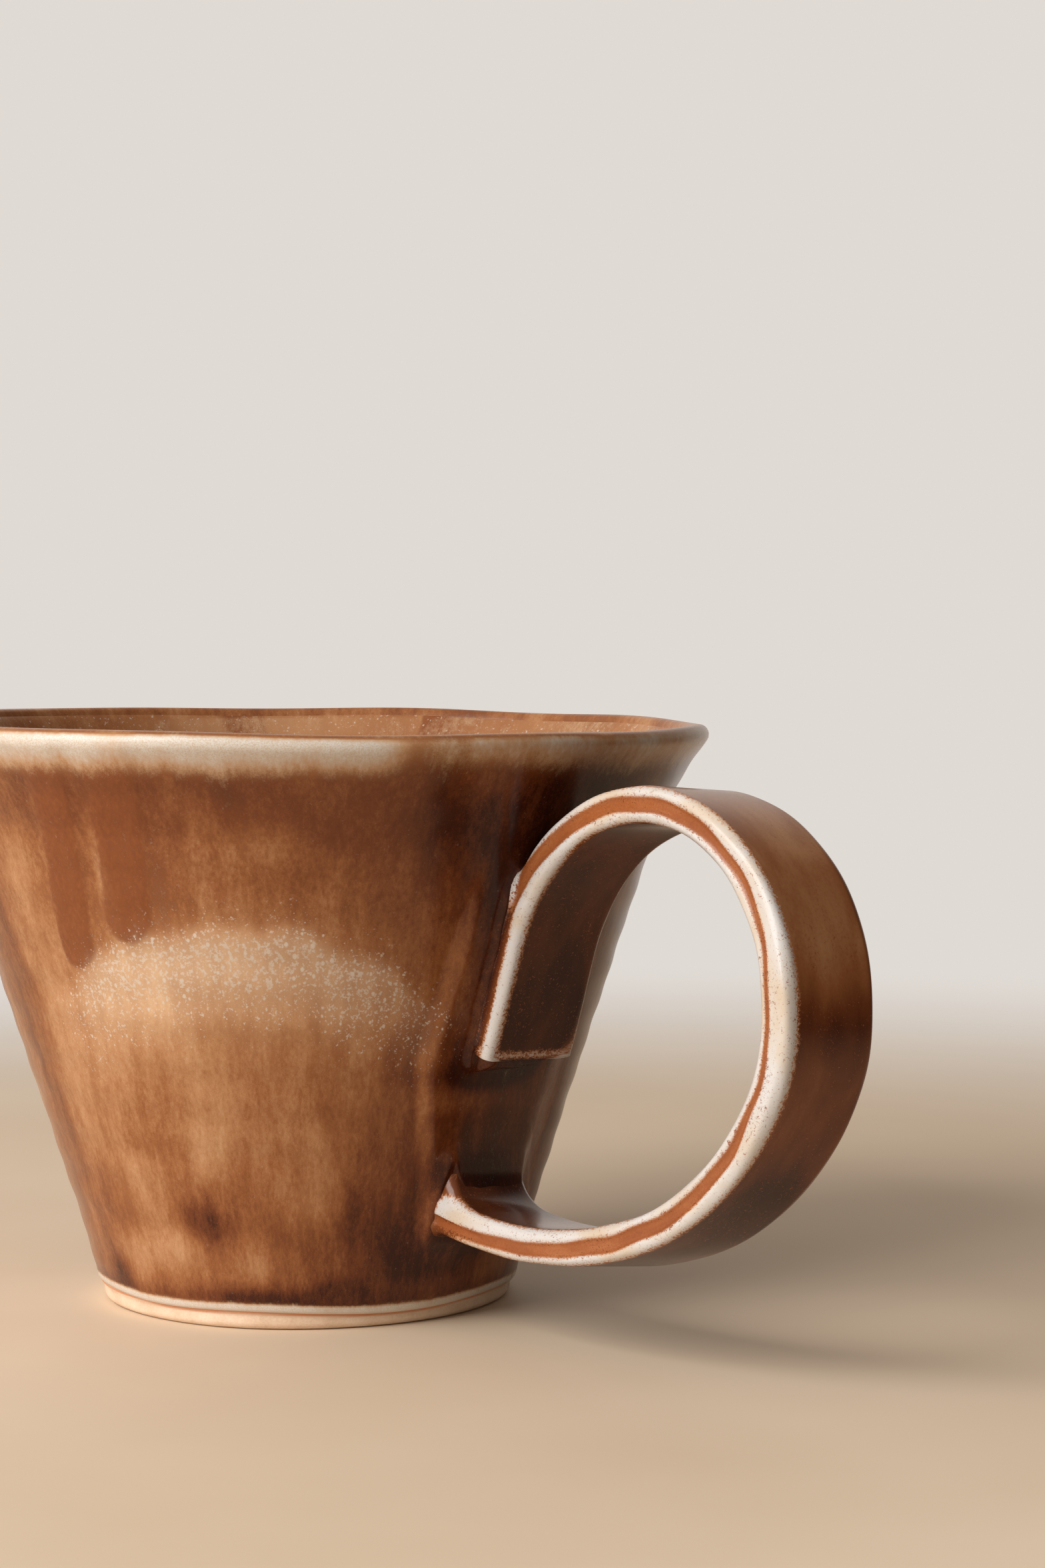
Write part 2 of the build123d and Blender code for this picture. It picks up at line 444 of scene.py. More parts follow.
def ring_faces(rows, columns, breaks=()):
    """Quads from each ring of vertices to the next, the last to the first, but none after a break."""
    joined = np.setdiff1d(np.arange(rows), breaks)
    row = np.repeat(joined, columns)
    column = np.tile(np.arange(columns), len(joined))
    after = (row + 1) % rows
    beside = (column + 1) % columns
    corners = [row * columns + column, row * columns + beside,
               after * columns + beside, after * columns + column]
    return list(np.stack(corners, -1))


def fan_faces(ring_start, columns, hub, flip):
    """Triangles from a ring to a single vertex."""
    here = ring_start + np.arange(columns)
    beside = ring_start + (np.arange(columns) + 1) % columns
    order = (beside, here) if flip else (here, beside)
    return list(np.stack([*order, np.full(columns, hub)], -1))


AROUND = 440  # columns of vertices round the cup
CROWDING = 0.6  # how much closer together the columns stand beside the handle
GRAIN_RADIUS = 40  # patterns on the wall are laid out on a cylinder of this radius
turns_round = np.arange(AROUND) / AROUND
angles = 360 * (turns_round - CROWDING * np.sin(2 * pi * turns_round) / (2 * pi))


def rim_settle(angle, z):
    """How far the hand-cut rim sags or rises, fading out down the wall."""
    sag = -RIM_DIP * np.cos(np.radians(apart(angle, RIM_DIP_ANGLE)))
    wave = RIM_WAVE * waves(angle, 11, 3, 9)
    return (sag + wave) * smooth(20, HEIGHT, z) ** 1.5


def round_axis(radius, angle, height):
    """Points, or vectors, at an angle round the cup's axis."""
    turn = np.radians(angle)
    return np.stack(np.broadcast_arrays(radius * np.cos(turn), radius * np.sin(turn), height), -1)


def revolve(profile, directions, lift):
    """Rings of points round the axis, moved out of the clay by lift[row, column]."""
    radius = profile[:, 0, None] + directions[:, 0, None] * lift
    height = profile[:, 1, None] + directions[:, 1, None] * lift
    return round_axis(radius, angles[None, :], height + rim_settle(angles[None, :], height))


def wall_texture(angle, along):
    """Fine unevenness of a thrown and hand-dipped wall."""
    turn = np.radians(angle)
    rings = np.sin(2 * pi * along / RING_PITCH + turn)
    soft = ripple(GRAIN_RADIUS * np.cos(turn), along + 0.7 * GRAIN_RADIUS * np.sin(turn), 5, 14)
    return RING_RELIEF * rings + 0.05 * soft


# Each run of glaze, as (angle at its top, its slant in degrees per mm, half width, lowest height)
DRIPS = ((-78.5, 0.15, 3.5, 44.3), (-67.5, 0.12, 4.2, 47.6), (118, -0.1, 3.4, 50),
         (150, 0.1, 4, 43))
DIP_CENTRES = (-52, 134)  # the two sides that were dipped a second time
DIP_TOP = 50.6  # the second coat's edge at its highest
DIP_SWEEP = 44  # how quickly the edge falls away to the sides


def drips(angle, z):
    """Fingers of glaze that ran down from the rim and stopped, 1 in the middle of each."""
    total = 0
    for centre, slant, half_width, bottom in DRIPS:
        across = np.radians(apart(angle, centre - slant * (67 - z))) * wall_radius(z)
        down = np.maximum(bottom + half_width - z, 0)
        total = np.maximum(total, smooth(1, 0.55, np.hypot(across, down) / half_width))
    return total


def dip_depth(angle, z):
    """How far below the second coat's curved top edge a point of the wall is."""
    edges = [DIP_TOP - DIP_SWEEP * (1 - np.cos(np.radians(apart(angle, c)))) for c in DIP_CENTRES]
    return np.maximum(*edges) + 0.5 * waves(angle, 3, 9, 30) - z


def dip_strength(angle):
    """The second coat's edge is clearest at the middle of each dipped side."""
    away = np.minimum(*[np.abs(apart(angle, c)) for c in DIP_CENTRES])
    return smooth(46, 22, away)


LINE_WAVES = 0.22


def glaze_line(angle):
    """Height of the glaze's wavy lower edge above the foot."""
    return 0.25 + LINE_WAVES * waves(angle, 4, 2, 8) - 0.3 * np.cos(np.radians(apart(angle, 40)))


OVERLAP_INSIDE = 5  # how far the outside coat reaches down inside the lip


def outer_wall():
    """The outside coat: up from its rolled lower edge, over the lip and a little way down inside."""
    overlap = inner_points[:, 1] > HEIGHT - OVERLAP_INSIDE
    profile = np.concatenate([outer_points[:-1], inner_points[overlap]])
    normals = airward(np.concatenate([outer_headings[:-1], inner_headings[overlap]]))
    lengths = lengths_along(profile)
    inside_lip = np.maximum(lengths - lengths[len(outer_points) - 1], 0)[:, None]
    angle, along = np.broadcast_arrays(angles[None, :], lengths[:, None])
    z = np.broadcast_to(profile[:, 1, None], angle.shape)
    y = profile[:, 0, None] * np.sin(np.radians(angle))
    facing = np.cos(np.radians(angle)) > 0
    outside = np.broadcast_to(inside_lip == 0, angle.shape)
    depth = dip_depth(angle, z)
    lift = wall_texture(angle, along)
    lift = lift + 0.16 * drips(angle, z) + 0.06 * smooth(-0.3, 0.6, depth)
    lift = np.where(outside, lift * smooth(0, 4, along), 0)
    lift *= smooth(HEIGHT - 0.2, HEIGHT - 3, z)
    lift += np.where(facing & outside, pad_height(y, z), 0)
    lift -= 0.32 * smooth(0.5, 3.6, inside_lip)

    points = revolve(profile, normals, lift)
    out = round_axis(normals[:, 0, None], angle, normals[:, 1, None])
    near = outside & (np.abs(apart(angle, 0)) < 32) & (z < 66)
    growth = np.zeros(angle.shape)
    closeness = np.zeros(angle.shape)
    closeness[near] = smooth(5, 1, strap_distance(points[near], filled=False))
    behind_joint = smooth(6.2, 4.4, np.abs(y - JOINT_MIDDLE)) * smooth(14, 17, z)
    growth[near] = swell(points[near], out[near], strap_distance, 3.2, 1.4 * behind_joint[near])
    points += out * growth[..., None]

    # the lower edge is wavy and rolls in to the clay
    edge_shift = smooth(6, 0, along) * glaze_line(angles)[None, :]
    points[..., 2] += edge_shift
    under = revolve(profile, normals, np.full(angle.shape, -2 * GLAZE))
    under[..., 2] += edge_shift
    spoke = round_axis(1, angles, 0)
    down = np.array((0, 0, GLAZE))
    roll = [points[0] - spoke * GLAZE * (1 - cos(t)) - down * sin(t) for t in (pi / 2, pi / 3)]
    hidden = np.concatenate([under[::-1][::12], roll])

    def with_hidden(values):
        return np.concatenate([np.zeros((len(hidden), AROUND)), np.broadcast_to(values, z.shape)])

    layers = [with_hidden(values) for values in (along, z, inside_lip, closeness)]
    return np.concatenate([hidden, points]), *layers


# Pale bands under the lip, as (middle angle, half angle, strength)
RIM_BANDS = ((-62, 36, 1), (-8, 12, 0.6), (35, 40, 0.6), (100, 26, 0.9),
             (165, 34, 0.8), (-140, 22, 0.55))
# Soft patches of the wall, as (angle, height, half width, half height, strength). The light ones and most
# dark ones are the glaze's own lighter and darker places; some dark ones are painted shade.
LIGHT_SPOTS = ((-39, 16.8, 2.6, 4, 0.5), (-87, 9, 4, 3, 0.5), (-46, 61, 4, 3, 0.45),
               (-60, 24, 3, 4.5, 0.3), (-73, 10, 4, 3, 0.5), (-72.5, 57, 1.1, 7, 0.7),
               (-92, 54, 5, 14, 0.3), (-52, 8.5, 3.5, 2.5, 0.3), (-92, 30, 5, 12, 0.4),
               (-58, 44, 16, 9, 0.3), (-5, 28.6, 7, 1.4, 0.3),
               (-82, 17, 3.5, 5, 0.3))
# Painted shade among these: (-3, 32.2) is a painted shadow under the tail's end, (-4, 20) is painted shade
# in the crotch above the lower joint, and (2, 62) is painted shade under the lip beside the handle. (25,
# 40) darkens the wall beyond the handle, partly darker glaze and partly painted shade.
DARK_GLAZE_AND_SHADE_SPOTS = ((-64, 13.9, 3.2, 3.2, 0.8), (-32, 4.4, 4.5, 2.2, 1), (-97, 5.5, 2, 2.4, 0.6),
              (-54, 4.2, 6, 1.5, 0.6), (-27, 14, 5, 6, 0.4), (-35, 62, 9, 6, 0.2),
              (-16, 60, 9, 8, 0.45), (2, 62, 14, 8, 0.75), (-4, 26, 6.5, 9, 0.35),
              (-23, 36, 7, 14, 0.4), (25, 40, 22, 30, 0.7), (-8, 8.5, 9, 4, 0.8),
              (-100, 40, 6, 30, 0.4), (-3, 32.2, 7, 1.5, 0.8), (-4, 20, 6, 2.2, 0.6))


def spots(angle, z, table):
    """How strong a table's patches are together at each place."""
    total = 0
    for centre, height, half_width, half_height, strength in table:
        across = np.radians(apart(angle, centre)) * wall_radius(z) / half_width
        total += strength * np.exp(-(across**2) - ((z - height) / half_height) ** 2)
    return total


def wall_colour_layers(above_line, heights, into, closeness):
    """Where the outside glaze is thin, dark or speckled, where shade and a reflection line are painted on
    it, and the place that its streaks follow.
    """
    angle = np.broadcast_to(angles[None, :], heights.shape)
    below_rim = HEIGHT - heights
    outside = into <= 0
    band_strength = 0.4
    for centre, half_angle, strength in RIM_BANDS:
        near = smooth(half_angle + 5, half_angle - 5, np.abs(apart(angle, centre)))
        band_strength = np.maximum(band_strength, strength * near)
    band = smooth(0.1, 0.8, below_rim) * smooth(7, 1.2, below_rim) * band_strength
    crest = 0.2 * smooth(0.5, 0, below_rim)
    line = smooth(1.1, 0.25, above_line)
    thin = np.maximum(np.maximum(band, crest) * outside, line)

    depth = dip_depth(angle, heights)
    dipped = smooth(-1.8, 2.2, depth) * dip_strength(angle)
    haze = dipped * smooth(17, 2, depth)
    haze += 0.3 * smooth(6, 0, np.abs(depth)) * dip_strength(angle) * (1 - dipped)
    tone = -0.5 * dipped * smooth(24, 2, depth)
    tone += 0.35 * smooth(58, 66, heights) * smooth(0.5, 4.5, below_rim)
    tone += 0.14 * smooth(48, 56, heights) * dip_strength(angle)
    tone += 0.18 * smooth(26, 10, heights)
    # The dark patches include painted shade under the tail, under the lip and above the lower joint.
    tone = tone + spots(angle, heights, DARK_GLAZE_AND_SHADE_SPOTS) - spots(angle, heights, LIGHT_SPOTS)
    tone += 0.3 * smooth(3, 1, above_line)
    tone += 0.3 * closeness * (1 + smooth(30, 36, heights))
    # A lighter line along the pad's near edge (y below 0), below the tail, is a painted reflection of that
    # low ridge.
    y = wall_radius(heights) * np.sin(np.radians(angle))
    pad = pad_height(y, heights) / PAD_RELIEF * (np.cos(np.radians(angle)) > 0)
    tone -= 1.2 * pad * (1 - pad) * smooth(40, 34, heights) * smooth(2, -2, y)
    tone = np.clip(tone, -1.2, 1)
    amber = np.maximum(drips(angle, heights), 0.4 * smooth(50, 57, heights) * dip_strength(angle))
    amber *= smooth(1.5, 6, below_rim)
    grain = round_axis(GRAIN_RADIUS, angle, heights)
    return {"thin": thin, "tone": tone, "haze": haze, "amber": amber, "grain": grain}


# ---- materials
def linear(red, green, blue):
    """A colour given as it looks on screen, from 0 to 255, in the numbers that shaders use."""
    parts = [c / 255 for c in (red, green, blue)]
    return (*[p / 12.92 if p <= 0.04045 else ((p + 0.055) / 1.055) ** 2.4 for p in parts], 1)


def socket_name(name):
    return name.replace("_", " ").title().replace("Ior", "IOR")


class Graph:
    """Short names for building the nodes of a material or a world."""

    def __init__(self, block):
        block.use_nodes = True
        self.block = block
        self.tree = block.node_tree
        self.shader = self.tree.nodes.get("Principled BSDF")

    def feed(self, socket, value):
        if isinstance(value, bpy.types.NodeSocket):
            self.tree.links.new(value, socket)
        else:
            socket.default_value = value

    def node(self, kind, **values):
        node = self.tree.nodes.new("ShaderNode" + kind)
        for name, value in values.items():
            self.feed(node.inputs[socket_name(name)], value)
        return node

    def layer(self, name, vector=False):
        node = self.node("Attribute")
        node.attribute_name = name
        return node.outputs["Vector" if vector else "Fac"]

    def drawn_out(self, vector, share):
        """Stretches a pattern up the wall or along the strap, where it gets this share of its detail."""
        return self.node("Mapping", vector=vector, scale=(1, 1, share)).outputs["Vector"]

    def noise(self, vector, scale, detail, roughness=0.5, distortion=0):
        node = self.node("TexNoise", vector=vector, scale=scale, detail=detail, roughness=roughness,
                         distortion=distortion)
        return node.outputs["Fac"]

    def specks(self, vector, scale):
        """Distance to the nearest of a scatter of points, and a random value for each point."""
        node = self.node("TexVoronoi", vector=vector, scale=scale)
        split = self.node("SeparateColor", color=node.outputs["Color"])
        return node.outputs["Distance"], split.outputs["Red"]

    def maths(self, operation, *values, kind="Math"):
        node = self.node(kind)
        node.operation = operation
        for socket, value in zip(node.inputs, values):
            self.feed(socket, value)
        return node.outputs["Value"]

    def weigh(self, start, *terms):
        """start plus each (value, weight, middle): weight times the value's offset from middle."""
        total = start
        for value, weight, middle in terms:
            offset = self.maths("SUBTRACT", value, middle)
            total = self.maths("MULTIPLY_ADD", offset, weight, total)
        return total

    def around_half(self, start, *terms):
        """The same for values that lie evenly about 0.5, such as noise."""
        return self.weigh(start, *((value, weight, 0.5) for value, weight in terms))

    def fade(self, value, low, high, to_low=0, to_high=1):
        node = self.node("MapRange")
        node.interpolation_type = "SMOOTHSTEP"
        for socket, entry in zip(node.inputs, (value, low, high, to_low, to_high)):
            self.feed(socket, entry)
        return node.outputs["Result"]

    def ramp(self, value, stops):
        node = self.node("ValToRGB", fac=value)
        marks = node.color_ramp.elements
        while len(marks) < len(stops):
            marks.new(0.5)
        for mark, (place, colour) in zip(marks, stops):
            mark.position = place
            mark.color = linear(*colour)
        return node.outputs["Color"]

    def mix(self, amount, first, second):
        node = self.node("Mix")
        node.data_type = "RGBA"
        self.feed(node.inputs["Factor"], amount)
        colours = [s for s in node.inputs if s.type == "RGBA"]
        for socket, value in zip(colours, (first, second)):
            self.feed(socket, linear(*value) if isinstance(value, tuple) else value)
        return [s for s in node.outputs if s.type == "RGBA"][0]

    def bump(self, height, strength, distance):
        node = self.node("Bump", height=height, strength=strength, distance=distance)
        self.set(normal=node.outputs["Normal"])

    def set(self, **values):
        for name, value in values.items():
            self.feed(self.shader.inputs[socket_name(name)], value)


GLAZE_TONES = ((0, (222, 188, 152)), (0.2, (198, 156, 118)), (0.38, (174, 125, 85)),
               (0.52, (148, 93, 54)), (0.68, (112, 60, 31)), (0.84, (66, 29, 15)), (1, (34, 13, 8)))
CREAM = (216, 209, 200)
STRAP_CREAM = (206, 203, 200)
CREAM_WARM = (206, 166, 126)
EDGE_AMBER = (178, 112, 62)


def rutile_glaze(name, start, mottle_weight, streak_weight, gloss):
    """Brown rutile glaze: streaked, mottled, speckled white, and cream where it breaks thin."""
    g = Graph(bpy.data.materials.new(name))
    grain = g.layer("grain", vector=True)
    thin, tone, haze, amber = map(g.layer, ("thin", "tone", "haze", "amber"))
    streaks = g.noise(g.drawn_out(grain, 0.28), 0.42, 4, 0.58)
    fine = g.noise(g.drawn_out(grain, 0.6), 1.9, 4, 0.66)
    mottle = g.noise(g.drawn_out(grain, 0.55), 0.12, 3, 0.55, 0.4)
    dust = g.noise(grain, 6.5, 2, 0.6)
    depth = g.around_half(start, (mottle, mottle_weight), (streaks, streak_weight), (fine, 0.28),
                          (dust, 0.16))
    # The tone layer darkens or lightens the glaze; on the outside wall and the strap it also carries
    # painted shade and painted reflections.
    colour = g.ramp(g.weigh(depth, (tone, 0.36, 0)), GLAZE_TONES)
    run = g.fade(g.around_half(amber, (fine, 0.5), (streaks, 0.3)), 0.15, 0.85, 0, 0.9)
    colour = g.mix(run, colour, g.mix(fine, (144, 82, 43), (106, 54, 26)))

    veil = g.fade(g.around_half(haze, (fine, 1.2), (mottle, 0.8)), 0.2, 1.5, 0, 0.38)
    colour = g.mix(veil, colour, (206, 186, 162))
    dots = g.fade(g.weigh(g.noise(grain, 1.9, 2, 0.7), (haze, 0.15, 0)), 0.66, 0.76, 0, 0.65)
    for place, scale, haze_weight, spread, middle, soft, sharp, most in (
            (g.drawn_out(grain, 0.8), 1.5, 0.36, 0.7, 0.9, 0.1, -0.08, 0.8),
            (grain, 2.6, 0.3, 0.6, 0.8, 0.14, -0.06, 0.5)):
        gap, pick = g.specks(place, scale)
        size = g.weigh(g.maths("MULTIPLY", haze, haze_weight), (pick, spread, middle), (dust, 0.4, 0.5))
        flecks = g.fade(g.maths("SUBTRACT", gap, size), soft, sharp, 0, most)
        dots = g.maths("MAXIMUM", dots, flecks)
    white = g.maths("MULTIPLY", dots, g.fade(haze, 0, 0.35, 0.15))
    colour = g.mix(white, colour, (208, 196, 182))

    ragged = g.around_half(thin, (mottle, 0.7), (fine, 0.5), (streaks, 0.5), (dust, 0.3))
    halo = g.fade(ragged, 0.12, 0.6)
    colour = g.mix(g.maths("MULTIPLY", halo, 0.7), colour, CREAM_WARM)
    breaking = g.fade(ragged, 0.4, 1)
    colour = g.mix(breaking, colour, g.mix(g.fade(dust, 0.35, 0.7), CREAM, (200, 182, 160)))

    rough = g.weigh(gloss, (fine, 0.14, 0.5), (breaking, 0.10, 0), (veil, 0.2, 0))
    g.set(base_color=colour, roughness=rough, ior=1.5, specular_ior_level=0.27, coat_weight=0.08,
          coat_roughness=gloss * 0.5, coat_ior=1.5)
    skin = g.around_half(0, (mottle, 0.6), (streaks, 0.35), (fine, 0.15), (dust, 0.08))
    g.bump(skin, 0.35, 0.00018)
    return g.block


def strap_glaze():
    """The same glaze on the handle, where it runs off both edges and pools in the side channels."""
    g = Graph(bpy.data.materials.new("strap_glaze"))
    grain = g.layer("grain", vector=True)
    thin, tone, channel = map(g.layer, ("thin", "tone", "channel"))
    streaks = g.noise(g.drawn_out(grain, 0.3), 0.5, 4, 0.55)
    mottle = g.noise(g.drawn_out(grain, 0.6), 0.14, 3, 0.5, 0.4)
    fine = g.noise(grain, 2.6, 4, 0.65)
    dust = g.noise(grain, 7, 2, 0.6)
    depth = g.around_half(0.69, (mottle, 0.4), (streaks, 0.14), (fine, 0.1))
    # On the strap the tone layer includes painted shade on the loop's inner face and lower outer face, and
    # a painted sheen on its upper outer face.
    colour = g.ramp(g.weigh(depth, (tone, 0.36, 0)), GLAZE_TONES)
    ragged = g.around_half(thin, (fine, 1.7), (dust, 1), (streaks, 0.3))
    halo = g.maths("MULTIPLY", g.fade(ragged, 0, 0.5), g.fade(thin, 0.02, 0.25))
    colour = g.mix(halo, colour, EDGE_AMBER)
    # Cream where the glaze breaks thin; the thin layer also carries the pale drop at the upper joint,
    # which is partly a painted glint.
    breaking = g.fade(ragged, 0.26, 0.74)
    colour = g.mix(breaking, colour, g.mix(g.fade(mottle, 0.4, 0.65), STRAP_CREAM, (200, 184, 164)))
    pooled = g.fade(g.around_half(channel, (streaks, 1), (fine, 2.6), (dust, 2)), 0.25, 0.8)
    amber = g.ramp(g.around_half(0.5, (streaks, 0.8), (fine, 0.6)),
                   ((0.1, (182, 120, 76)), (0.5, (150, 86, 48)), (0.9, (116, 62, 34))))
    colour = g.mix(g.maths("MULTIPLY", pooled, g.fade(tone, 1.1, 0.6)), colour, amber)
    rough = g.weigh(0.2, (fine, 0.14, 0.5), (breaking, 0.12, 0))
    g.set(base_color=colour, roughness=rough, ior=1.5, specular_ior_level=0.25, coat_weight=0.15,
          coat_roughness=0.08, coat_ior=1.5)
    g.bump(g.around_half(0, (mottle, 0.5), (fine, 0.12), (dust, 0.05)), 0.3, 0.00016)
    return g.block


def bare_clay():
    """Pinkish-cream stoneware, wiped smooth, flashed orange beside the glaze."""
    g = Graph(bpy.data.materials.new("bare_clay"))
    grain = g.layer("grain", vector=True)
    flash = g.layer("flash")
    grit = g.noise(grain, 3.2, 4, 0.7)
    cloud = g.noise(grain, 0.22, 3, 0.5)
    colour = g.ramp(g.around_half(0.5, (grit, 0.7), (cloud, 0.8)),
                    ((0.15, (204, 170, 140)), (0.5, (226, 199, 172)), (0.85, (238, 218, 196))))
    gap, pick = g.specks(grain, 0.7)
    dots = g.fade(g.weigh(gap, (pick, -0.4, 0.93)), 0.1, 0.04, 0, 0.55)
    colour = g.mix(dots, colour, (120, 84, 60))
    stain = g.fade(g.around_half(flash, (grit, 0.5), (cloud, 0.5)), 0.25, 0.9, 0, 0.8)
    colour = g.mix(stain, colour, (206, 128, 76))
    g.set(base_color=colour, roughness=g.around_half(0.62, (grit, 0.2)), ior=1.45)
    g.bump(g.around_half(0, (grit, 0.6), (cloud, 0.3)), 0.4, 0.00012)
    return g.block


FLOOR_FADE = (0.15, 0.42)  # the tabletop dissolves into the backdrop between these distances


def plain_floor():
    """Pale matt tabletop, barely mottled, that is gone before it reaches its edges."""
    g = Graph(bpy.data.materials.new("pale_floor"))
    place = g.node("TexCoord").outputs["Object"]
    cloud = g.noise(place, 9, 4, 0.5)
    g.set(base_color=g.ramp(cloud, ((0.3, (212, 190, 163)), (0.7, (222, 202, 177)))),
          roughness=g.around_half(0.6, (cloud, 0.15)), specular_ior_level=0.25,
          alpha=g.fade(g.maths("LENGTH", place, kind="VectorMath"), *FLOOR_FADE, 1, 0))
    return g.block


# ---- the pieces
clay = bare_clay()
wall_material = rutile_glaze("wall_glaze", start=0.49, mottle_weight=0.46, streak_weight=0.34, gloss=0.22)
liner_material = rutile_glaze("liner_glaze", start=0.60, mottle_weight=0.60, streak_weight=0.2, gloss=0.20)
strap_material = strap_glaze()


def make_outer_glaze():
    rings, *places = outer_wall()
    new_piece("outside_glaze", rings.reshape(-1, 3), ring_faces(len(rings), AROUND), wall_material,
              "brown_glaze", ["exterior_glaze"], **wall_colour_layers(*places))


def make_liner():
    """The inside coat, from just under the outside coat at the lip down to the floor's middle."""
    profile = inner_points[:-1]
    normals = airward(inner_headings[:-1])
    lengths = lengths_along(profile)
    angle, along = np.broadcast_arrays(angles[None, :], lengths[:, None])
    radius = np.broadcast_to(profile[:, 0, None], angle.shape)
    lift = wall_texture(angle, along) * smooth(4, 9, along)
    spiral = np.cos(2 * pi * radius / FLOOR_SPIRAL_PITCH + np.radians(angle))
    lift += 0.14 * spiral * smooth(26, 14, radius) * smooth(0, 3, radius)
    lift -= 0.34 * smooth(2.6, 0.3, along)
    points = revolve(profile, normals, lift)
    under = revolve(profile[::-8], normals[::-8], -0.55)
    floor = points[-1, :, 2].mean()
    rings = np.concatenate([points, under])
    rows = len(points)
    hub = len(rings) * AROUND
    faces = ring_faces(len(rings), AROUND, breaks=[rows - 1])
    faces += fan_faces((rows - 1) * AROUND, AROUND, hub, False)
    faces += fan_faces(rows * AROUND, AROUND, hub + 1, True)
    all_points = np.concatenate([rings.reshape(-1, 3), [[0, 0, floor], [0, 0, floor - 0.5]]])
    angle = np.concatenate([np.tile(angles, len(rings)), [0, 0]])

    height = all_points[:, 2]
    depth_in = HEIGHT - height
    radius = np.hypot(all_points[:, 0], all_points[:, 1])
    band = smooth(0.7, 1.6, depth_in) * smooth(9, 2.5, depth_in)
    thin = band * (0.15 + 0.2 * waves(angle, 21, 1, 6))
    pooling = bell(radius, 20, 5) * smooth(14, 6, height)
    tone = 0.7 * pooling - 0.35 * smooth(24, 6, depth_in)
    haze = 0.25 * smooth(30, 4, depth_in)
    grain_radius = GRAIN_RADIUS - smooth(12, 6, height) * (GRAIN_RADIUS - radius)
    new_piece("liner_glaze", all_points, faces, liner_material, "liner_glaze", ["interior_glaze"],
              thin=thin, tone=tone, haze=haze, amber=drips(angle, height),
              grain=round_axis(grain_radius, angle, height))


# The underside's outline from a shallow hollow to the foot's edge, as (inset from the edge, height)
FOOT_OUTLINE = ((5.2, 0.7), (4, 0.55), (3.1, 0.1), (2.6, 0), (1.3, 0), (0.75, 0.06), (0.3, 0.28),
                (0.06, 0.62))
FOOT_HOLLOW = 0.7
CLAY_INSET = 0.36  # how far the clay lies under the face of the outside coat, and of the liner
CLAY_INSET_INSIDE = 0.45


def make_clay_body():
    """The clay inside its coats, with the bare foot that shows below them."""
    foot = [(0, FOOT_HOLLOW)] + [(foot_radius - inset, height) for inset, height in FOOT_OUTLINE]
    bottom = []
    for a, b in zip(foot, foot[1:]):
        pieces = max(1, round(hypot(b[0] - a[0], b[1] - a[1]) / 1.2))
        bottom += [np.array(a) + (np.array(b) - a) * k / pieces for k in range(pieces)]
    side = [(foot_radius + 0.05 * GLAZE * k, 0.9 + 0.35 * k) for k in range(4)]
    outer = outer_points[:-1] - airward(outer_headings[:-1]) * CLAY_INSET
    inner = inner_points[:-1] - airward(inner_headings[:-1]) * CLAY_INSET_INSIDE
    outer = outer[outer[:, 1] > GLAZE_LINE - 0.05]
    profile = np.concatenate([bottom[1:], foot[-1:], side, outer[::2], inner[::3]])
    points = revolve(profile, np.zeros_like(profile), 0)
    wobble = 0.12 * waves(angles, 8, 2, 7)
    low = smooth(3, 0.8, profile[:, 1]) * smooth(foot_radius - 6, foot_radius - 2, profile[:, 0])
    points[..., 0] += low[:, None] * wobble * np.cos(np.radians(angles))
    points[..., 1] += low[:, None] * wobble * np.sin(np.radians(angles))
    rows = len(points)
    hub = rows * AROUND
    middle = [[0, 0, FOOT_HOLLOW], [0, 0, FLOOR_HEIGHT - CLAY_INSET_INSIDE]]
    faces = ring_faces(rows, AROUND, breaks=[rows - 1])
    faces += fan_faces(0, AROUND, hub, True)
    faces += fan_faces((rows - 1) * AROUND, AROUND, hub + 1, False)
    all_points = np.concatenate([points.reshape(-1, 3), middle])
    line = GLAZE_LINE + glaze_line(np.concatenate([np.tile(angles, rows), [0, 0]]))
    flash = smooth(0.75, 0.15, np.abs(all_points[:, 2] - line + 0.35)) * (all_points[:, 2] > 0.8)
    new_piece("clay_body", all_points, faces, clay, "bare_clay", ["cup_body"],
              flash=flash, grain=all_points)


def section_ring(side, corner, face):
    """One turn round the strap's section: corner-centre multipliers (cu, cv) and normals (nu, nv)."""
    entries = []
    for quarter, (a, b) in enumerate(((0, -1), (1, 0), (0, 1), (-1, 0))):
        if quarter % 2:
            across = np.sin(np.linspace(-1, 1, face, endpoint=False) * pi / 2)
        else:
            across = np.linspace(-1, 1, side, endpoint=False)
        for step in across:
            entries.append((a - b * step, b + a * step, a, b))
        for k in range(corner):
            turn = radians(90 * quarter - 90 + 90 * k / corner)
            entries.append((a - b, b + a, cos(turn), sin(turn)))
    return np.array(entries).T


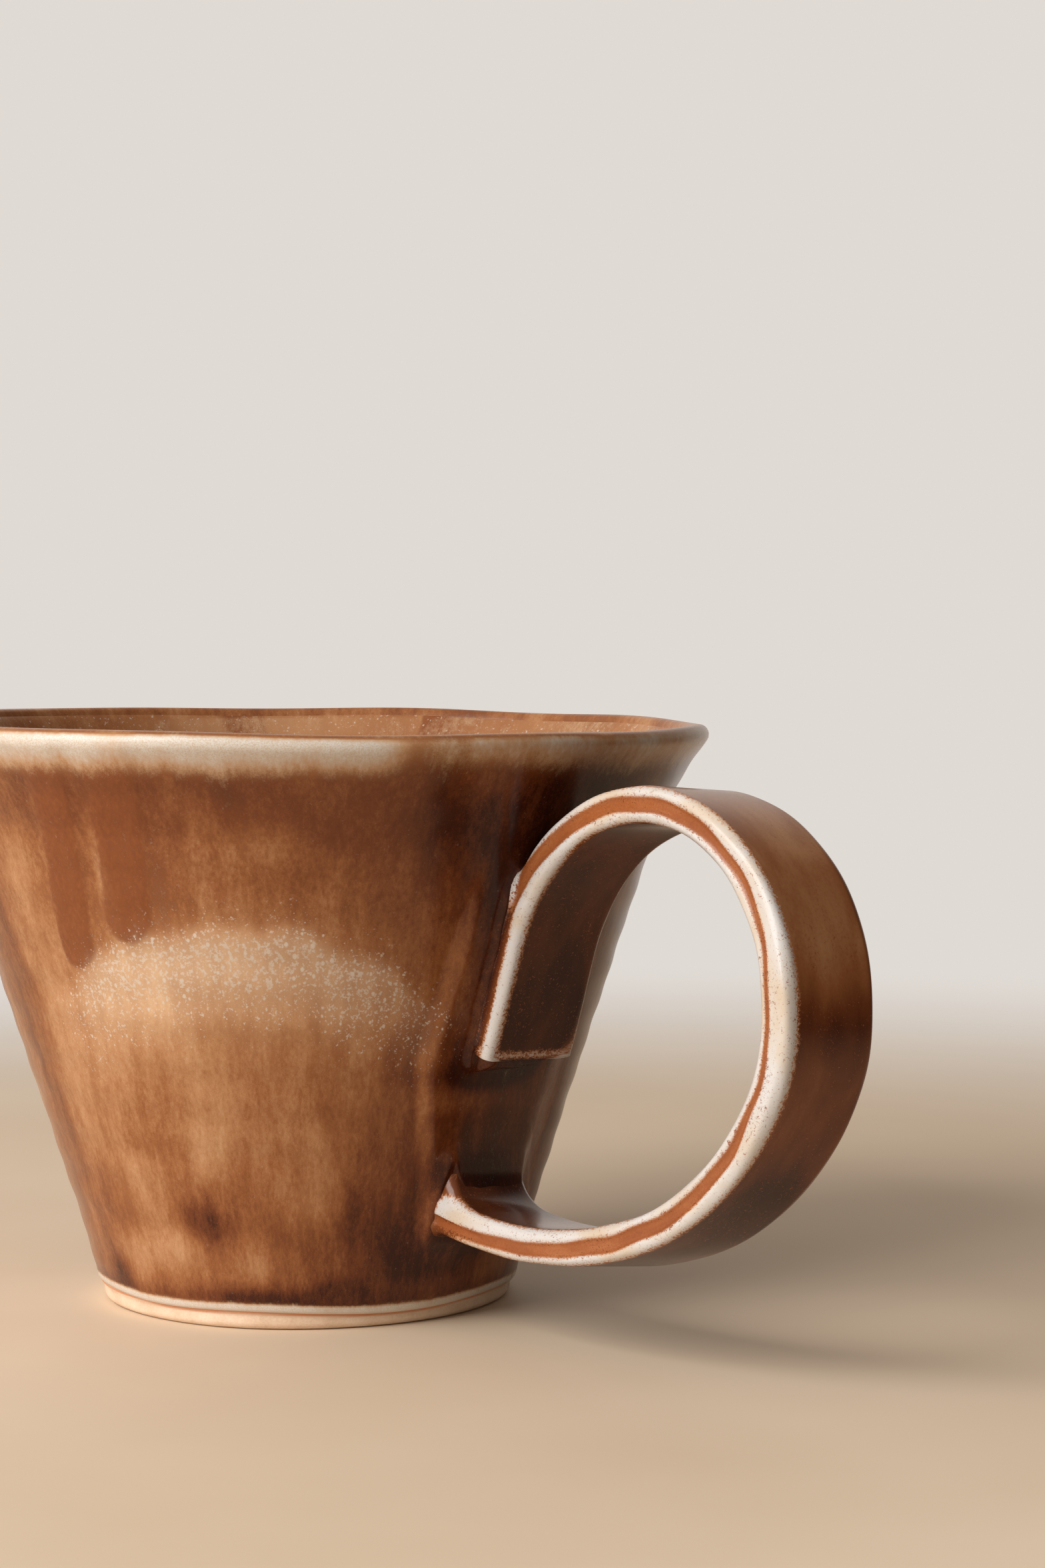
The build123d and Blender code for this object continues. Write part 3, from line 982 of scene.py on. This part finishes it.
def strap_skin():
    """Places in the strap's section for each ring of its skin, and how far along the ring is."""
    cu, cv, nu, nv = section_ring(22, 9, 26)
    total = sum(stretch_length(size, turn) for size, turn in STRAP_STEPS)
    reach = np.arange(0, total, STRAP_SPACING)
    middle, _ = strap_line(reach)
    buried = cup_distance(turned(np.insert(middle, 1, 0, axis=1))) < -1.6
    stop = reach[buried & (reach > total / 2)][0]
    edge = STRAP_EDGE
    shrink = np.array((0.2, 0.4, 0.6, 0.8))
    rounding = np.radians((0, 20, 40, 60, 80))
    body = np.arange(edge, stop, STRAP_SPACING)
    along = np.concatenate([0 * shrink, edge * (1 - np.cos(rounding)), body])
    inset = np.concatenate([0 * shrink + edge, edge * (1 - np.sin(rounding)), 0 * body])[:, None]
    shrink = np.concatenate([shrink, np.ones(len(rounding) + len(body))])[:, None]
    half = along_keys(HALF_THICKNESS, along)[:, None]
    u = cu * (half - edge) * shrink + nu * (edge - inset)
    v = cv * (STRAP_HALF_WIDTH - edge) * (0.5 + 0.5 * shrink) + nv * (edge - inset)
    for side, corner in ((1, TAIL_FAR_CORNER), (-1, TAIL_NEAR_CORNER)):
        short = corner - np.sqrt(np.maximum(corner**2 - np.maximum(corner - along, 0) ** 2, 0))
        v -= side * short[:, None] * (np.sign(cv) == side) * np.abs(cv)
    return along, u, v, cv, nu, nv


def strap_channel(row_along, u, cv, nv):
    """The groove along each side of the strap, 1 in its middle, and its half width."""
    half = along_keys(CHANNEL_HALF, row_along)
    wander = 0.12 * ripple(row_along, np.sign(cv) * 20, 31, 9)
    off_centre = np.abs(u - along_keys(CHANNEL_CENTRE, row_along) - wander)
    groove = smooth(half + 0.65, half - 0.5, off_centre) * (np.abs(nv) > 0.35)
    return groove * smooth(2, 6, row_along), half


def strap_in_place(along, u, v, is_vector=False):
    """From places in the twisted section to the cup's frame, for points or for directions."""
    middle, headings = strap_line(along)
    twist = np.radians(along_keys(TWIST, along))[:, None]
    out = u * np.cos(twist) + v * np.sin(twist)
    across = v * np.cos(twist) - u * np.sin(twist)
    turn = np.radians(headings)[:, None]
    if is_vector:
        flat = np.stack([-np.sin(turn) * out, across, np.cos(turn) * out], -1)
        return turned(flat.reshape(-1, 3) + HANDLE_PIVOT) - HANDLE_PIVOT
    out += STRAP_HALF_WIDTH * np.sin(twist)
    x = middle[:, 0, None] - np.sin(turn) * out
    z = middle[:, 1, None] + np.cos(turn) * out
    return turned(np.stack([x, across, z], -1).reshape(-1, 3))


def strap_colour_layers(row_along, u, v, past_side, channel, seam, growth, nu):
    """Where the strap's glaze is thin, dark or pooled, and where shade, a sheen and a glint are painted on
    it. seam is the distance to the wall.
    """
    on_tail = smooth(34, 26, row_along)
    near_limit = 1.1 + 0.5 * on_tail + 0.9 * bell(row_along, 84, 18) * (u > 0)
    limit = np.where(v < 0, near_limit, 0.5)
    thin = smooth(limit + 1.1, limit - 0.8, past_side) * (1 - channel)
    joint_fade = smooth(0.5, 1.6, seam) * smooth(2.3, 0.9, growth)
    joint_fade *= smooth(1.3, 0.4, growth * np.maximum(-nu, 0))
    joint_fade *= (1 - 0.9 * smooth(148, 156, row_along) * (u > 0))
    thin *= (on_tail * smooth(1.3, 2.6, seam) + (1 - on_tail) * joint_fade)
    end_edge = 0.5 * bell(row_along, 0.7, 0.5) * smooth(0.6, 1.6, seam)
    # A pale glaze drop at the upper joint, beside the wall, that is partly a painted glint.
    glint_drop = bell(row_along, 21.5, 2.4) * bell(seam, 1, 0.7) * (v < -5) * (u > 0)
    thin = np.maximum(np.maximum(thin, end_edge), glint_drop)

    face = smooth(0.3, 1.2, np.abs(u)) * smooth(0.8, 2.4, past_side)
    # The loop's inner face (u below 0) is darkened as painted shade; the tail is darker next to the wall,
    # where glaze pools.
    tone = 0.3 * face * (u < 0) + 0.4 * on_tail * smooth(1.7, 0.6, seam)
    tone += 0.2 * bell(row_along, 8, 8) * face
    # On the loop's outer face: lighter at about 62 and 75 mm along, a painted sheen, and darker at 84 mm
    # and from about 94 mm on towards its lower end, painted shade.
    outside = 0.45 * smooth(94, 108, row_along) + 0.35 * bell(row_along, 84, 3.5)
    outside = outside - 0.6 * bell(row_along, 62, 10) - 0.5 * bell(row_along, 75, 6)
    tone += outside * face * (u > 0)
    channel = channel * smooth(0.6, 1.6, seam) * smooth(14, 26, row_along)
    return {"thin": thin, "tone": tone, "channel": channel}


def make_handle():
    """The glazed strap, from the rounded end of its tail to where it runs into the wall."""
    along, u, v, cv, nu, nv = strap_skin()
    shape = u.shape
    row_along = np.broadcast_to(along[:, None], shape)
    normals = strap_in_place(along, *np.broadcast_arrays(nu, nv, u)[:2], is_vector=True)
    base = strap_in_place(along, u, v)
    growth = swell(base, normals, cup_distance, 2.6).reshape(shape)
    collar = swell_to_collar(base, normals).reshape(shape)
    growth = np.maximum(growth * smooth(0, 1.4, row_along), collar)

    channel, channel_half = strap_channel(row_along, u, cv, nv)
    groove = CHANNEL_DEPTH * channel * np.abs(nv) * np.minimum(channel_half / 0.6, 1)
    uneven = 0.05 * ripple(row_along, 8 * np.arctan2(nv, nu), 17, 11) - groove
    u += nu * uneven
    v += nv * uneven
    points = strap_in_place(along, u, v) + normals * growth.reshape(-1, 1)

    rows, ring = shape
    ends = points.reshape(rows, ring, 3)[[0, -1]].mean(1)
    faces = ring_faces(rows, ring, breaks=[rows - 1])
    faces += fan_faces(0, ring, rows * ring, True)
    faces += fan_faces((rows - 1) * ring, ring, rows * ring + 1, False)

    past_corner = STRAP_EDGE * np.arccos(np.minimum(np.abs(nv), 1))
    past_side = past_corner + (STRAP_HALF_WIDTH - STRAP_EDGE) * (1 - np.abs(cv))
    seam = cup_distance(points).reshape(shape)
    layers = strap_colour_layers(row_along, u, v, past_side, channel, seam, growth, nu)
    layers = {key: np.append(values, [0, 0]) for key, values in layers.items()}
    grain = np.stack([u, v, row_along], -1).reshape(-1, 3)
    new_piece("handle", np.concatenate([points, ends]), faces, strap_material, "brown_glaze",
              ["handle_strap", "handle_glaze", "upper_joint_slip", "lower_joint_slip"],
              grain=np.concatenate([grain, np.zeros((2, 3))]), **layers)


make_clay_body()
make_liner()
make_outer_glaze()
make_handle()


# ---- floor, light and camera
def make_floor():
    """A plain tabletop wider than the mug."""
    mesh = bpy.data.meshes.new("floor")
    mesh.from_pydata([(-0.5, -0.5, 0), (0.5, -0.5, 0), (0.5, 0.5, 0), (-0.5, 0.5, 0)], [], [(0, 1, 2, 3)])
    mesh.materials.append(plain_floor())
    add_object("floor", mesh)


WINDOW_AZIMUTH = -98  # in the part's own frame, where the handle is at 0
WINDOW_ELEVATION = 30
WINDOW_DISTANCE = 0.8  # metres, as its size
WINDOW_SIZE = (0.55, 0.6)
WINDOW_POWER = 7.8
# Directions of the room's two bright sides, as seen from the mug
WINDOW_SIDE = (-0.35, -0.87, 0.35)
BACKDROP_SIDE = (-0.74, 0.63, 0.22)


def make_window():
    """A rectangular soft box that faces the mug."""
    a = radians(WINDOW_AZIMUTH)
    e = radians(WINDOW_ELEVATION)
    away = Vector((cos(a) * cos(e), sin(a) * cos(e), sin(e)))
    light = bpy.data.lights.new("window", "AREA")
    light.shape = "RECTANGLE"
    light.size, light.size_y = WINDOW_SIZE
    light.energy = WINDOW_POWER
    light.color = (1, 0.97, 0.94)
    lamp = add_object("window", light)
    lamp.location = Vector((0.01, 0, 0.04)) + away * WINDOW_DISTANCE
    lamp.rotation_euler = away.to_track_quat("Z", "Y").to_euler()


def make_world():
    """A pale backdrop, and a room that is bright towards the window and the backdrop only."""
    g = Graph(bpy.data.worlds.new("studio"))
    place = g.node("TexCoord").outputs["Generated"]
    lobes = []
    for side, *fade in (WINDOW_SIDE, -0.7, 0.9, 0.05, 0.55), (BACKDROP_SIDE, 0.55, 0.9, 0.05, 0.7):
        lobes.append(g.fade(g.maths("DOT_PRODUCT", place, side, kind="VectorMath"), *fade))
    glow = g.node("Background", color=linear(255, 244, 234), strength=g.maths("MAXIMUM", *lobes))
    seen = g.tree.nodes["Background"]
    seen.inputs["Color"].default_value = linear(224, 218, 212)
    choice = g.node("MixShader", fac=g.node("LightPath").outputs["Is Camera Ray"])
    g.feed(choice.inputs[1], glow.outputs["Background"])
    g.feed(choice.inputs[2], seen.outputs["Background"])
    g.feed(g.tree.nodes["World Output"].inputs["Surface"], choice.outputs["Shader"])
    bpy.context.scene.world = g.block


FOCAL = 83.31  # mm, on a frame 36 mm high
CAMERA_DISTANCE = 0.4672  # metres from the cup's axis
CAMERA_HEIGHT = 0.0896
CAMERA_AZIMUTH = 50.4
CAMERA_YAW = 0.0601  # radians past the cup's axis, below level and tilted
CAMERA_PITCH = 0.0515
CAMERA_ROLL = -0.0041


def make_camera():
    """A camera at the photograph's place, turned a little past the mug so that the mug is off centre."""
    data = bpy.data.cameras.new("camera")
    data.sensor_fit = "VERTICAL"
    data.sensor_height = 36
    data.lens = FOCAL
    data.clip_start = 0.01
    camera = add_object("camera", data)
    to_part = Matrix.Rotation(radians(CAMERA_AZIMUTH), 3, "Z")
    look = to_part @ Matrix.Rotation(-CAMERA_YAW, 3, "Z") @ Matrix.Rotation(pi / 2 - CAMERA_PITCH, 3, "X")
    look = look @ Matrix.Rotation(CAMERA_ROLL, 3, "Z")
    place = to_part @ Vector((0, -CAMERA_DISTANCE, CAMERA_HEIGHT))
    camera.matrix_world = Matrix.Translation(place) @ look.to_4x4()
    bpy.context.scene.camera = camera


make_floor()
make_world()
make_window()
make_camera()
bpy.context.scene.view_settings.view_transform = "Standard"
